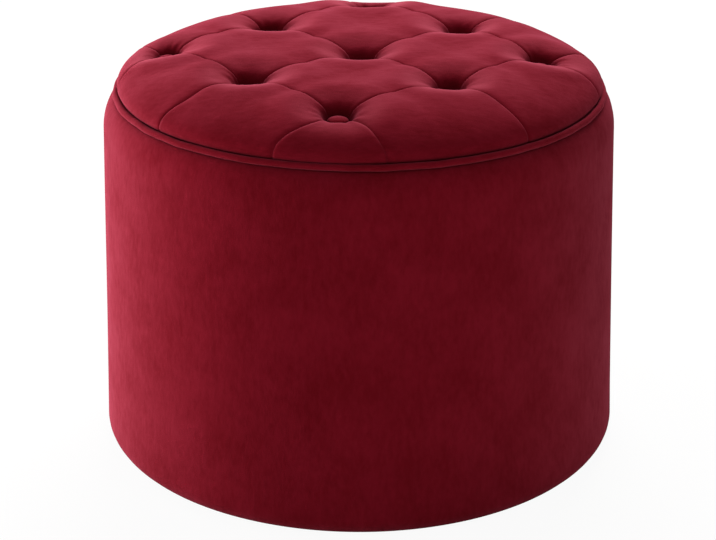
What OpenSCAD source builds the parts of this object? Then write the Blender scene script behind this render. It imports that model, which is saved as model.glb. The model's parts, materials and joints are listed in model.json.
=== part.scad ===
// Round storage pouf with a lift-off lid, covered in velvet.
// The lid's cushion is deep-buttoned: nine buttons on a square grid, with folds between them and
// out to the edge.
// +Z is up and the front is at -Y. The origin is the middle of the foot, on the floor.

/* [Body] */
// Diameter of the covered body at its shoulder
body_d = 520; // [480:5:580]
// How much wider the body stands at its foot than at its shoulder, on each side
foot_spread = 12; // [0:1:20]
// Height of the padded rim that the lid rests on
rim_h = 372; // [300:1:430]
// Width over which the shoulder rounds inward
shoulder_w = 14; // [10:0.5:16]
// Height over which the shoulder rounds
shoulder_h = 34; // [18:1:40]
// Radius of the rounded edge at the foot
foot_round = 16; // [6:0.5:16]
// Width of the padded rim, from the shoulder's outline in to the mouth
rim_w = 38; // [34:1:56]
// Radius of the rounded edge of the mouth
rim_round = 4; // [3:0.5:6]

/* [Frame] */
// Thickness of the bent plywood wall
wall_t = 6; // [4:0.5:8]
// Width of the open butt joint at the back of the wall
wall_joint_w = 1; // [0.5:0.5:3]
// Width of the strap that bridges the joint
strap_w = 60; // [40:5:90]
// Thickness of the strap
strap_t = 3; // [2:0.5:4]
// Thickness of the bottom panel
floor_t = 9; // [9:0.5:15]
// Thickness of the ring inside the top of the wall
ring_t = 12; // [10:1:18]

/* [Padding and covers] */
// Thickness of the velvet
velvet_t = 1.2; // [0.8:0.1:1.6]
// Thickness of the foam round the wall
wall_pad_t = 15; // [15:0.5:18]
// Thickness of the foam on top of the rim
rim_pad_t = 3; // [2:0.5:6]
// Thickness of the cloth-covered card that lines the well
card_t = 1.5; // [1:0.25:3]
// Thickness of the thin cloth under the body and under the lid
cloth_t = 0.8; // [0.7:0.1:1.2]
// Width of velvet turned under the foot
foot_hem_w = 34; // [25:1:60]
// Distance from the velvet's edge under the ring to the lining of the wall
ring_hem_gap = 1; // [0.5:0.5:6]

/* [Lid] */
// Distance from the board's edge out to the piping
board_inset = 9; // [8:0.5:14]
// Thickness of the lid's board
lid_board_t = 9; // [9:0.5:12]
// How far the velvet under the lid's board reaches inside the centring ring
lid_hem_reach = 5; // [3:0.5:12]
// Height at which the lid's edge seam begins, over the rim
seam_h = 3; // [2:0.25:4]
// Width of the wooden ring that centres the lid in the mouth
centring_w = 24; // [18:1:30]
// Thickness of the centring ring
centring_t = 12; // [9:1:18]
// Clearance all round between the centring ring and the mouth
centring_gap = 2.5; // [1.5:0.25:4]

/* [Cushion] */
// How far the cushion's widest line stands in from the body's outline
cushion_step = 15; // [15:0.5:20]
// Height of the cushion's widest line over the rim
widest_h = 9; // [7:0.5:12]
// Height of the crown over the rim
crown_h = 43.4; // [36:0.2:50]
// Width over which the crown falls from its level part to the widest line
crown_fall_w = 104; // [70:1:140]

/* [Tufting] */
// Distance from the cushion's widest line in to the outer buttons of the grid
button_inset = 54; // [45:1:75]
// Turn of the button grid about the lid's axis, in degrees
tuft_turn = -4.5; // [-8:0.5:8]
// Depth of the folds midway between two buttons
pleat_depth = 4; // [2:0.5:8]
// Further depth from the fold down to the button's seat
seat_depth = 16; // [6:0.5:17]

/* [Buttons] */
// Diameter of a covered button
button_d = 20; // [16:0.5:22]
// Height of a covered button
button_h = 6; // [5:0.5:8]
// Diameter of the wire of a button's eye
eye_wire_d = 1.6; // [1.2:0.1:2]
// Diameter of the twine that pulls a button down
twine_d = 1.6; // [1.2:0.1:2]
// Diameter of the washer that holds the twine
washer_d = 18; // [14:0.5:18]
// Thickness of the washer
washer_t = 1.5; // [1:0.25:2]
// Diameter of the hole for the twine in the lid's board
twine_hole_d = 7; // [6:0.5:8]

/* [Piping] */
// Diameter of the piping round the lid
piping_d = 6.6; // [5:0.1:6.6]
// Diameter of the cord inside the piping
piping_cord_d = 4.2; // [3:0.1:4.4]
// How far the piping stands in from the body's outline
piping_step = 9.6; // [6:0.1:9.6]
// Thickness of the piping's sewn flange
flange_t = 1.6; // [1:0.1:2]

/* [Fasteners] */
// Diameter of the screws
screw_d = 4; // [3:0.5:4.5]
// Diameter of the countersunk screw heads
screw_head_d = 8; // [7:0.5:9]
// Length of the screws through the wall into the bottom panel
wall_screw_l = 20; // [18:1:30]
// Distance from the tips of the upper screws to the ring's inner edge
screw_tip_gap = 4; // [2:0.5:6]
// Number of screws in each ring of them
screw_count = 8; // [6:1:12]
// Width of a staple's crown
staple_w = 10; // [8:1:12]
// Thickness of the staple wire
staple_wire = 0.6; // [0.5:0.1:0.7]
// Length of a staple's legs
staple_leg = 7; // [6:0.5:8]
// Number of staples in each ring of them
staple_count = 24; // [12:2:36]

/* [Glides] */
// Diameter of a glide
glide_d = 22; // [18:1:30]
// Height of a glide
glide_h = 3; // [2:0.5:5]
// Distance from the body's foot in to the middle of a glide
glide_inset = 67; // [50:1:110]
// Number of glides
glide_count = 4; // [3:1:8]
// Diameter of a glide's nail
nail_d = 2.2; // [1.8:0.1:2.6]
// Length of a glide's nail
nail_l = 11; // [8:0.5:11]

/* [Hidden] */
$fn = 72;

// Colours of the real materials
velvet_c = [0.49, 0.04, 0.12];
ply_c = [0.80, 0.66, 0.47];
foam_c = [0.93, 0.90, 0.80];
cloth_c = [0.12, 0.12, 0.13];
lining_c = [0.23, 0.05, 0.08];
steel_c = [0.72, 0.73, 0.75];
nylon_c = [0.16, 0.16, 0.17];
twine_c = [0.86, 0.84, 0.78];

// Clearances and small sizes shared by several pieces
glue_gap = 0.1;
screw_gap = 0.15;
overrun = 1;
shell_t = 1;
arc_steps = 9;

// Heights, from the floor up
body_r = body_d / 2;
mouth_r = body_r - rim_w;
foot_z = glide_h + cloth_t;
panel_z = foot_z + velvet_t;
panel_top = panel_z + floor_t;
shoulder_z = rim_h - shoulder_h;
ring_top = rim_h - velvet_t - rim_pad_t;
ring_z = ring_top - ring_t;
return_z = ring_z - velvet_t;
pad_foot_z = foot_z + foot_round;
board_z = rim_h + velvet_t;
board_top = board_z + lid_board_t;

// Radii of the flared body at a height
function skin_r(z) = body_r + foot_spread * (shoulder_z - z) / (shoulder_z - foot_z);
function wall_out(z) = skin_r(z) - velvet_t - wall_pad_t - 2 * glue_gap;
function wall_in(z) = wall_out(z) - wall_t;
function lining_out(z) = wall_in(z) - strap_t - 2 * glue_gap;
function lining_in(z) = lining_out(z) - card_t;

ring_r = wall_in(ring_top) - glue_gap;
ring_in_r = mouth_r + velvet_t + glue_gap;
ring_hem_r = lining_out(return_z) - ring_hem_gap;
panel_r = wall_in(panel_top) - glue_gap;
centring_r = mouth_r - centring_gap;
centring_in_r = centring_r - centring_w;
lid_hem_r = centring_in_r - lid_hem_reach;
piping_r = body_r - piping_step - piping_d / 2;
lid_board_r = piping_r - piping_d / 2 - board_inset;
lid_edge_r = lid_board_r + glue_gap + velvet_t;
piping_z = rim_h + glue_gap + screw_gap + piping_d / 2;
seam_top = rim_h + seam_h + flange_t;

function reversed(list) = [for (i = [len(list) - 1:-1:0]) list[i]];

// Points of an arc with half-axes a and b round the centre c, from one angle to another
function arc(c, a, b, from, to) = [
    for (i = [0:arc_steps])
        let (t = from + (to - from) * i / arc_steps)
            [c[0] + a * cos(t), c[1] + b * sin(t)]
];

// The path of the body's cover, moved in by o: under the foot, up the wall, over the shoulder,
// into the mouth and under the ring
function foot_path(o) = concat(
    [[skin_r(pad_foot_z) - foot_hem_w, foot_z + o]],
    arc([skin_r(pad_foot_z) - foot_round, pad_foot_z], foot_round - o, foot_round - o, -90, 0)
);
function shoulder_path(o) = arc([body_r - shoulder_w, shoulder_z], shoulder_w - o, shoulder_h - o, 0, 90);
function mouth_path(o) = concat(
    arc([mouth_r + rim_round, rim_h - rim_round], rim_round - o, rim_round - o, 90, 180),
    [[mouth_r + o, return_z + o], [ring_hem_r, return_z + o]]
);
function cover_path(o) = concat(foot_path(o), shoulder_path(o), mouth_path(o));

// Copies of a child round the Z axis
module ring_of(count, start = 0) {
    for (i = [0:count - 1])
        rotate(start + 360 * i / count)
            children();
}

// A ring with a square section
module band(r_in, r_out, z, h) {
    translate([0, 0, z])
        difference() {
            cylinder(r = r_out, h = h);
            translate([0, 0, -overrun])
                cylinder(r = r_in, h = h + 2 * overrun);
        }
}

// A countersunk screw along Z with the top of its head at 0, thicker by grow
module screw(l, grow = 0) {
    head_h = (screw_head_d - screw_d) / 2;
    translate([0, 0, -head_h])
        cylinder(r1 = screw_d / 2 + grow, r2 = screw_head_d / 2 + grow, h = head_h);
    translate([0, 0, -l - grow])
        cylinder(r = screw_d / 2 + grow, h = l + grow - head_h / 2);
}

// A staple driven up at radius r, its crown along the ring and its lower face at 0
module staple(r) {
    translate([r - staple_wire / 2, -staple_w / 2, 0])
        cube([staple_wire, staple_w, staple_wire]);
    for (side = [-1, 1])
        translate([r - staple_wire / 2, side * (staple_w - staple_wire) / 2 - staple_wire / 2, 0])
            cube([staple_wire, staple_wire, staple_leg]);
}

// Screws of length l that point inward through the wall at height z
module wall_screws(z, l, grow = 0) {
    ring_of(screw_count, 180 / screw_count)
        translate([wall_out(z) - glue_gap, 0, z])
            rotate([0, 90, 0])
                screw(l, grow);
}

// The upper screws, into the ring, and the lower ones, into the bottom panel
rim_screw_z = ring_z + ring_t / 2;
bottom_screw_z = panel_z + floor_t / 2;
module upper_screws(grow = 0) {
    wall_screws(rim_screw_z, wall_out(rim_screw_z) - glue_gap - ring_in_r - screw_tip_gap, grow);
}
module lower_screws(grow = 0) {
    wall_screws(bottom_screw_z, wall_screw_l, grow);
}

// Body frame

module drum_wall() {
    color(ply_c)
        difference() {
            rotate_extrude()
                polygon([
                    [wall_in(panel_z), panel_z], [wall_out(panel_z), panel_z],
                    [wall_out(ring_top), ring_top], [wall_in(ring_top), ring_top]
                ]);
            translate([-wall_joint_w / 2, 0, panel_z - overrun])
                cube([wall_joint_w, body_d, ring_top - panel_z + 2 * overrun]);
            upper_screws(screw_gap);
            lower_screws(screw_gap);
        }
}

// Bridges the wall's butt joint from inside, between the bottom panel and the ring
module wall_strap() {
    half_turn = strap_w / 2 / wall_in(ring_z) * 180 / PI;
    color(ply_c)
        rotate(90 - half_turn)
            rotate_extrude(angle = 2 * half_turn)
                polygon([
                    [wall_in(panel_top) - glue_gap - strap_t, panel_top],
                    [wall_in(panel_top) - glue_gap, panel_top],
                    [wall_in(return_z) - glue_gap, return_z],
                    [wall_in(return_z) - glue_gap - strap_t, return_z]
                ]);
}

module top_ring() {
    color(ply_c)
        difference() {
            band(ring_in_r, ring_r, ring_z, ring_t);
            upper_screws(screw_gap);
        }
}

module bottom_panel() {
    color(ply_c)
        difference() {
            translate([0, 0, panel_z])
                cylinder(r = panel_r, h = floor_t);
            lower_screws(screw_gap);
        }
}

module rim_screws() {
    color(steel_c)
        upper_screws();
}

module bottom_screws() {
    color(steel_c)
        lower_screws();
}

// Body padding, cover and linings

// Foam round the wall that rolls over the shoulder onto the ring
module wall_padding() {
    o = velvet_t + glue_gap;
    color(foam_c)
        rotate_extrude()
            polygon(concat(
                [[wall_out(pad_foot_z) + glue_gap, pad_foot_z], [skin_r(pad_foot_z) - o, pad_foot_z]],
                shoulder_path(o),
                [
                    [mouth_r + rim_round, rim_h - o], [mouth_r + rim_round, ring_top],
                    [wall_out(ring_top) + glue_gap, ring_top]
                ]
            ));
}

module body_cover() {
    color(velvet_c)
        rotate_extrude()
            polygon(concat(cover_path(0), reversed(cover_path(velvet_t))));
}

// Hold the velvet's edge under the ring
module rim_staples() {
    color(steel_c)
        ring_of(staple_count)
            translate([0, 0, return_z])
                staple((mouth_r + ring_hem_r) / 2);
}

// Hold the velvet's edge under the bottom panel
module hem_staples() {
    color(steel_c)
        ring_of(staple_count)
            translate([0, 0, foot_z])
                staple(panel_r - foot_hem_w / 3);
}

module side_lining() {
    color(lining_c)
        rotate_extrude()
            polygon([
                [lining_in(panel_top), panel_top], [lining_out(panel_top), panel_top],
                [lining_out(return_z), return_z], [lining_in(return_z), return_z]
            ]);
}

module floor_lining() {
    color(lining_c)
        translate([0, 0, panel_top])
            cylinder(r = lining_in(panel_top + card_t) - glue_gap, h = card_t);
}

// Thin cloth that closes the underside, over the velvet's edge
module dust_cover() {
    color(cloth_c)
        translate([0, 0, glide_h])
            cylinder(r = panel_r, h = cloth_t);
}

module dust_staples() {
    color(steel_c)
        ring_of(staple_count, 180 / staple_count)
            translate([0, 0, glide_h])
                staple(panel_r - foot_hem_w / 6);
}

// Glides

nail_seat_z = glide_h / 3;
nail_head_h = nail_seat_z / 2;
glide_edge = glide_h / 4;

module at_glides() {
    ring_of(glide_count, 180 / glide_count)
        translate([body_r + foot_spread - glide_inset, 0, 0])
            children();
}

// A nylon button with a bored and recessed middle for its nail
module glides() {
    glide_r = glide_d / 2;
    color(nylon_c)
        at_glides()
            rotate_extrude()
                polygon([
                    [nail_d / 2 + glue_gap, nail_seat_z], [nail_d + glue_gap, nail_seat_z],
                    [nail_d + glue_gap, 0], [glide_r - 2 * glide_edge, 0],
                    [glide_r - glide_edge / 2, glide_edge], [glide_r, 2 * glide_edge],
                    [glide_r, glide_h], [nail_d / 2 + glue_gap, glide_h]
                ]);
}

module glide_nails() {
    color(steel_c)
        at_glides()
            translate([0, 0, nail_seat_z - nail_head_h])
                union() {
                    cylinder(r = nail_d, h = nail_head_h);
                    cylinder(r = nail_d / 2, h = nail_l);
                }
}

// The buttoned cushion
// Places on the lid are given as u and v, counted in tuft pitches from the middle button.
// The buttons are at every u and v of -1, 0 and 1, and the folds follow those lines out to the edge.

// How far hand work has put each button off the grid, to the right and to the back, as shares of the pitch
wander_shares = [
    [[-0.039, 0.069], [-0.004, 0.001], [-0.047, 0.030]],
    [[-0.039, 0.005], [0.015, -0.057], [0.030, 0.009]],
    [[-0.071, 0.038], [-0.054, -0.047], [-0.038, 0.033]]
];

widest_r = body_r - cushion_step;
crown_level_r = widest_r - crown_fall_w;
tuft_pitch = (widest_r - button_inset) / sqrt(2);
rim_uv = widest_r / tuft_pitch;

function mix(a, b, t) = a + (b - a) * t;
function limited(a, low, high) = min(max(a, low), high);

// The wander at u, v, blended between the four nearest buttons and fading to nothing at the edge
function wander(u, v) = let (
    a = limited(u, -1, 1) + 1, b = limited(v, -1, 1) + 1,
    i = min(floor(a), 1), j = min(floor(b), 1),
    low = mix(wander_shares[j][i], wander_shares[j][i + 1], a - i),
    high = mix(wander_shares[j + 1][i], wander_shares[j + 1][i + 1], a - i)
) mix(low, high, b - j) * limited((rim_uv - norm([u, v])) / (rim_uv - sqrt(2)), 0, 1);

// Where u, v lies on the lid, seen from above
function plan(u, v) = let (t = 45 + tuft_turn, w = wander(u, v)) [
    (u * cos(t) - v * sin(t) + w[0]) * tuft_pitch, (u * sin(t) + v * cos(t) + w[1]) * tuft_pitch
];

// How far the cloth has risen at a distance from a fold, from 0 on the fold to 1 midway between two
rise_power_share = 0.55;
function to_fold(a) = abs(a) > 1 ? min(abs(a) - 1, 0.5) : min(abs(a), 1 - abs(a));
function risen(a) = pow(sin(180 * to_fold(a)), rise_power_share);

// Depth of the surface under the crown: full at a button, less along a fold, none in a pillow's middle
function tuft_depth(u, v) = let (a = risen(u), b = risen(v))
    (pleat_depth + seat_depth) * (1 - a) * (1 - b) + pleat_depth * (a + b - 2 * a * b);

// How far the crown has come from its level part, at 0, to its widest line, at 1
function crown_run(r) = limited((r - crown_level_r) / (widest_r - crown_level_r), 0, 1);

// The tufting gets shallower towards the edge
edge_tuft_share = 0.22;
function tuft_fade(r) = mix(1, edge_tuft_share, pow(crown_run(r), 2));

// The point of the crown over the place p, moved in by d square to the crown
function crown_point(p, d) = let (
    r = norm(p), s = crown_run(r), c = sqrt(1 - s * s), rise = crown_h - widest_h,
    slope = [s / (widest_r - crown_level_r), c / rise], n = slope / norm(slope),
    q = r > 0 ? p / r * (r - n[0] * d) : p
) [q[0], q[1], rim_h + widest_h + rise * c - n[1] * d];

// The seat of the button at u, v, with the surface moved in by o
function seat_point(u, v, o) = let (p = plan(u, v), d = (pleat_depth + seat_depth) * tuft_fade(norm(p)))
    crown_point(p, o + d);

// A point of the cushion at u, v, moved in by o. Under a button the surface is level.
seat_ring_uv = 1.15 * button_d / 2 / tuft_pitch;
seat_uv = 1.1 * seat_ring_uv;
function under_button(u, v) = max(to_fold(u), to_fold(v)) < seat_uv && max(abs(u), abs(v)) < 1 + seat_uv;
function cushion_point(u, v, o) = let (p = plan(u, v)) under_button(u, v)
    ? concat(p - plan(round(u), round(v)), [0]) + seat_point(round(u), round(v), o)
    : crown_point(p, o + tuft_depth(u, v) * tuft_fade(norm(p)));

// Places along one pitch, closer together beside the folds, and the lines of the grid that they give
cell_shares = [0, seat_ring_uv, 0.2, 0.38, 0.62, 0.8, 1 - seat_ring_uv];
cell_steps = len(cell_shares);
side = 2 * cell_steps;
lines = concat([for (cell = [-1, 0]) for (s = cell_shares) cell + s], [1]);

// Places from the outer buttons' seats to the widest line, for the velvet's two sides and for the foam
edge_shares = [0, 0.28, 0.56, 0.79, 0.93, 1];
inner_edge_shares = [0, 0.28, 0.79, 1];
foam_edge_shares = [0, 0.28, 0.79];
wedge_steps = 2;
columns = side + wedge_steps;
rim_points = 4 * columns;

corners = [[-1, -1], [1, -1], [1, 1], [-1, 1]];

// Lines of the grid that cross where column c leaves the grid's outline
function start_lines(c) = let (k = floor(c / columns) % 4, m = max(c % columns - wedge_steps, 0))
    [[m, 0], [side, m], [side - m, side], [0, side - m]][k];
function start_place(c) = let (p = start_lines(c)) [lines[p[0]], lines[p[1]]];

// The place on the widest line that a column runs out to. A side's first columns fan out from its corner button.
function edge_place(c) = let (
    k = floor(c / columns) % 4, m = c % columns, corner = corners[k],
    across = sqrt(rim_uv * rim_uv - 1), first = atan2(1, across) - 45,
    out = corners[(k + 1) % 4] - corner, away = [out[1], -out[0]] / 2,
    along = start_place(c) * out / 2,
    t = mix(first, -first, m / wedge_steps), u = rim_uv * cos(t) / sqrt(2), v = rim_uv * sin(t) / sqrt(2)
) m < wedge_steps
    ? [corner[0] * u - corner[1] * v, corner[1] * u + corner[0] * v]
    : away * sqrt(rim_uv * rim_uv - along * along) + out / 2 * along;

// The cushion's surface moved in by o: the crossings of the grid's lines, then the rings out to the widest line
function cushion_points(o, shares) = concat(
    [for (v = lines) for (u = lines) cushion_point(u, v, o)],
    [
        for (s = shares)
            for (c = [0:rim_points - 1])
                let (
                    from = start_place(c), to = edge_place(c),
                    p = mix(from, to, mix(seat_ring_uv / norm(to - from), 1, s))
                )
                    cushion_point(p[0], p[1], o)
    ]
);

// Numbers of those points: on the grid at lines i and j, and on ring j at column c
function grid_index(p) = p[0] + p[1] * len(lines);
function ring_index(j, c) = len(lines) * len(lines) + j * rim_points + c % rim_points;

// Triangles of that surface, with its upper side out
function cushion_faces(shares) = concat(
    [
        for (i = [0:side - 1])
            for (j = [0:side - 1])
                let (
                    a = grid_index([i, j]), b = grid_index([i, j + 1]),
                    c = grid_index([i + 1, j + 1]), d = grid_index([i + 1, j]),
                    same_half = (2 * (i % cell_steps) < cell_steps) == (2 * (j % cell_steps) < cell_steps)
                )
                    each same_half ? [[a, b, c], [a, c, d]] : [[a, b, d], [b, c, d]]
    ],
    [
        for (c = [0:rim_points - 1])
            let (a = grid_index(start_lines(c)), b = grid_index(start_lines(c + 1)))
                each concat(
                    a == b ? [] : [[a, b, ring_index(0, c + 1)]],
                    [[a, ring_index(0, c + 1), ring_index(0, c)]]
                )
    ],
    [for (j = [1:len(shares) - 1]) each strip(ring_index(j - 1, 0), ring_index(j, 0), rim_points)]
);

// One ring of points that follows the last ring of a surface at radius r and height z
function closing_ring(r, z) = [
    for (c = [0:rim_points - 1])
        let (p = edge_place(c), q = plan(p[0], p[1]))
            concat(q / norm(q) * r, [z])
];

function shifted(faces, n) = [for (f = faces) [for (i = f) i + n]];
function flipped(faces) = [for (f = faces) reversed(f)];

// Triangles between two rings of points that start at numbers a and b, with b below or outside a
function strip(a, b, count) = [
    for (c = [0:count - 1])
        each [
            [a + c, a + (c + 1) % count, b + (c + 1) % count],
            [a + c, b + (c + 1) % count, b + c]
        ]
];

// The velvet of the cushion, an open shell that ends on the piping's flange
module tufted_top() {
    low_r = widest_r - velvet_t;
    outer = cushion_points(0, edge_shares);
    inner = cushion_points(velvet_t, inner_edge_shares);
    outer_low = len(outer);
    inner_start = outer_low + rim_points;
    inner_low = inner_start + len(inner);
    color(velvet_c)
        polyhedron(
            points = concat(
                outer, closing_ring(low_r, seam_top),
                inner, closing_ring(low_r - velvet_t, seam_top)
            ),
            faces = concat(
                cushion_faces(edge_shares),
                strip(ring_index(len(edge_shares) - 1, 0), outer_low, rim_points),
                strip(outer_low, inner_low, rim_points),
                flipped(shifted(cushion_faces(inner_edge_shares), inner_start)),
                flipped(strip(inner_start + ring_index(len(inner_edge_shares) - 1, 0), inner_low, rim_points))
            )
        );
}

// Foam under the velvet, cut flat where it lies on the board
module lid_foam() {
    surface = cushion_points(velvet_t + glue_gap, foam_edge_shares);
    low = len(surface);
    color(foam_c)
        polyhedron(
            points = concat(surface, closing_ring(lid_board_r, board_top), [[0, 0, board_top]]),
            faces = concat(
                cushion_faces(foam_edge_shares),
                strip(ring_index(len(foam_edge_shares) - 1, 0), low, rim_points),
                [for (c = [0:rim_points - 1]) [low + c, low + (c + 1) % rim_points, low + rim_points]]
            )
        );
}

// Buttons and what holds them

button_places = [for (v = [-1:1]) for (u = [-1:1]) [u, v]];
eye_r = eye_wire_d * 2;
washer_seat = board_z + lid_board_t / 2;
twine_bend_r = (eye_wire_d + twine_d) / 2 + glue_gap;

// Copies of a child at every button, standing on the velvet's seat there, or at height z where one is given
module at_buttons(z = undef) {
    for (b = button_places) {
        p = cushion_point(b[0], b[1], 0);
        translate([p[0], p[1], is_undef(z) ? p[2] : z])
            children();
    }
}

// The velvet drawn over each button and tucked under it
module buttons() {
    color(velvet_c)
        at_buttons()
            rotate_extrude()
                polygon(concat(
                    [[button_d / 4, 0], [button_d / 2 - button_h / 6, 0]],
                    arc([0, button_h / 3], button_d / 2, 2 * button_h / 3, 0, 90),
                    arc([0, button_h / 3], button_d / 2 - shell_t, 2 * button_h / 3 - shell_t, 90, 0),
                    [[button_d / 2 - shell_t - button_h / 6, shell_t], [button_d / 4, shell_t]]
                ));
}

// The steel inside each button, with the eye that the twine goes through
module button_shells() {
    o = shell_t + glue_gap;
    color(steel_c)
        at_buttons()
            union() {
                rotate_extrude()
                    polygon(concat(
                        [[0, o], [button_d / 2 - o - button_h / 6, o]],
                        arc([0, button_h / 3], button_d / 2 - o, 2 * button_h / 3 - o, 0, 90)
                    ));
                translate([0, 0, o - eye_r / 2])
                    rotate([90, 0, 0])
                        rotate_extrude()
                            translate([eye_r, 0])
                                circle(r = eye_wire_d / 2);
            }
}

// A loop of twine from each eye down through the foam and the board, round the web between its washer's holes
module tufting_twines() {
    low = washer_seat - washer_t;
    color(twine_c)
        for (b = button_places) {
            p = cushion_point(b[0], b[1], 0);
            translate([p[0], p[1], low])
                twine_loop(p[2] + shell_t + glue_gap - 3 * eye_r / 2 - low);
        }
}

// A loop of twine with two straight legs of length l and half a turn at each end
module twine_loop(l) {
    union() {
        for (y = [-twine_bend_r, twine_bend_r])
            translate([0, y, 0])
                cylinder(r = twine_d / 2, h = l);
        twine_bend(180);
        translate([0, 0, l])
            twine_bend(0);
    }
}

// Half a turn of twine across the Y axis, turned over by an angle
module twine_bend(over) {
    rotate([over, 0, 0])
        rotate([90, 0, 90])
            rotate_extrude(angle = 180)
                translate([twine_bend_r, 0])
                    circle(r = twine_d / 2);
}

// Washers let into the underside of the lid's board, each with two holes for its twine
module twine_washers() {
    color(nylon_c)
        at_buttons(washer_seat - washer_t)
            difference() {
                cylinder(r = washer_d / 2, h = washer_t);
                for (y = [-twine_bend_r, twine_bend_r])
                    translate([0, y, -overrun])
                        cylinder(r = twine_d / 2 + glue_gap, h = washer_t + 2 * overrun);
            }
}

// Lid frame

ring_screw_l = centring_t + velvet_t + 2 * lid_board_t / 3;

module lid_screws(grow = 0) {
    ring_of(screw_count, 180 / screw_count)
        translate([centring_r - centring_w / 2, 0, rim_h - centring_t])
            rotate([180, 0, 0])
                screw(ring_screw_l, grow);
}

module lid_board() {
    color(ply_c)
        difference() {
            translate([0, 0, board_z])
                cylinder(r = lid_board_r, h = lid_board_t);
            at_buttons(board_z - overrun)
                cylinder(r = twine_hole_d / 2, h = lid_board_t + 2 * overrun);
            at_buttons(board_z - overrun)
                cylinder(r = washer_d / 2 + 1.5 * glue_gap, h = washer_seat - board_z + overrun);
            lid_screws(screw_gap);
        }
}

module centring_ring() {
    color(ply_c)
        difference() {
            band(centring_in_r, centring_r, rim_h - centring_t, centring_t);
            lid_screws(screw_gap);
        }
}

module ring_screws() {
    color(steel_c)
        lid_screws();
}

// Velvet from the edge seam round the board's lower edge and under it
module lid_border() {
    bend = seam_h / 2;
    color(velvet_c)
        difference() {
            rotate_extrude()
                polygon(concat(
                    [[lid_hem_r, rim_h]],
                    arc([lid_edge_r - bend, rim_h + bend], bend, bend, -90, 0),
                    [
                        [lid_edge_r, rim_h + seam_h], [lid_edge_r - velvet_t, rim_h + seam_h],
                        [lid_edge_r - velvet_t, board_z], [lid_hem_r, board_z]
                    ]
                ));
            lid_screws(screw_gap);
        }
}

module border_staples() {
    color(steel_c)
        ring_of(staple_count)
            translate([0, 0, rim_h])
                staple((centring_r + lid_board_r) / 2);
}

// Velvet sewn round the cord, with the flange held in the edge seam
module piping_cover() {
    color(velvet_c)
        rotate_extrude()
            difference() {
                union() {
                    translate([piping_r, piping_z])
                        circle(r = piping_d / 2);
                    translate([lid_edge_r - velvet_t, rim_h + seam_h])
                        square([piping_r - lid_edge_r + velvet_t, flange_t]);
                }
                translate([piping_r, piping_z])
                    circle(r = piping_cord_d / 2 + glue_gap);
            }
}

module piping_cord() {
    color(twine_c)
        rotate_extrude()
            translate([piping_r, piping_z])
                circle(r = piping_cord_d / 2);
}

// Thin cloth across the underside of the lid, inside the centring ring
module lid_lining() {
    color(cloth_c)
        translate([0, 0, rim_h - cloth_t])
            cylinder(r = centring_in_r - glue_gap, h = cloth_t);
}

module lid_lining_staples() {
    color(steel_c)
        ring_of(staple_count / 2, 360 / staple_count)
            translate([0, 0, rim_h - cloth_t])
                staple((centring_in_r + lid_hem_r) / 2);
}

drum_wall();
wall_strap();
top_ring();
bottom_panel();
rim_screws();
bottom_screws();
wall_padding();
body_cover();
rim_staples();
hem_staples();
side_lining();
floor_lining();
dust_cover();
dust_staples();
glides();
glide_nails();
lid_board();
lid_foam();
tufted_top();
lid_border();
border_staples();
piping_cover();
piping_cord();
buttons();
button_shells();
tufting_twines();
twine_washers();
centring_ring();
ring_screws();
lid_lining();
lid_lining_staples();
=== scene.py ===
import json
import math

import bpy
import numpy as np
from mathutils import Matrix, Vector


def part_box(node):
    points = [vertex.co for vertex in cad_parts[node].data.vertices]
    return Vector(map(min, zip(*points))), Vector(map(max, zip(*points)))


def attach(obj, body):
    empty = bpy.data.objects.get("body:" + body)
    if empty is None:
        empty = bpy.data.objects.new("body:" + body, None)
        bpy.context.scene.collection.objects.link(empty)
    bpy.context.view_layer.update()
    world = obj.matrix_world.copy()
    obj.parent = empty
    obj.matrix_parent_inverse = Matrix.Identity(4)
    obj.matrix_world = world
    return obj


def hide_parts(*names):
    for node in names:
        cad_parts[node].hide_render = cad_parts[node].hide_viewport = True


# Looks of a round storage pouf in crimson velvet, with a deep-buttoned lift-off lid.
# Shapes are worked out in millimetres and turned to metres when their mesh is made.

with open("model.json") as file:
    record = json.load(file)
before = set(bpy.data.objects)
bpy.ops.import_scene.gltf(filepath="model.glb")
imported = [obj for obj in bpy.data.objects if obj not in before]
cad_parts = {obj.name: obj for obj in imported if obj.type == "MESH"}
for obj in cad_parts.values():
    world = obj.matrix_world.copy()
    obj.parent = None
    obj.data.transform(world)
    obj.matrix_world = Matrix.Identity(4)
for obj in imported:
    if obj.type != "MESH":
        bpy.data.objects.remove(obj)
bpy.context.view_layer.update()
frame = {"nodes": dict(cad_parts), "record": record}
nodes = frame["nodes"]
mm = 0.001
print("frame loaded:", len(nodes), "nodes")


# Small tools

def linear(hexColour):
    # sRGB hex to linear light: c / 12.92 when dark, else ((c + 0.055) / 1.055) ^ 2.4
    c = np.array([int(hexColour[i:i + 2], 16) for i in (1, 3, 5)]) / 255
    c = np.where(c <= 0.04045, c / 12.92, ((c + 0.055) / 1.055) ** 2.4)
    return (*[float(x) for x in c], 1.0)


def addNode(tree, kind, inputs=None, stops=(), **settings):
    # one shader node: inputs are values, or sockets to link, stops are the place and colour of a ramp's ends, and
    # settings are its other properties
    node = tree.nodes.new(kind)
    if stops:
        for element, (position, colour) in zip(node.color_ramp.elements, stops):
            element.position, element.color = position, colour
    for name, value in settings.items():
        setattr(node, name, value)
    for name, value in (inputs or {}).items():
        if isinstance(value, bpy.types.NodeSocket):
            tree.links.new(value, node.inputs[name])
        else:
            node.inputs[name].default_value = value
    return node


def newMaterial(name):
    material = bpy.data.materials.new(name)
    material.use_nodes = True
    material.node_tree.nodes.clear()
    return material, material.node_tree


def smoothStep(x, low, high):
    # 0 below low, 1 above high, 3t^2 - 2t^3 between
    t = np.clip((x - low) / (high - low), 0, 1)
    return t * t * (3 - 2 * t)


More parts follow.
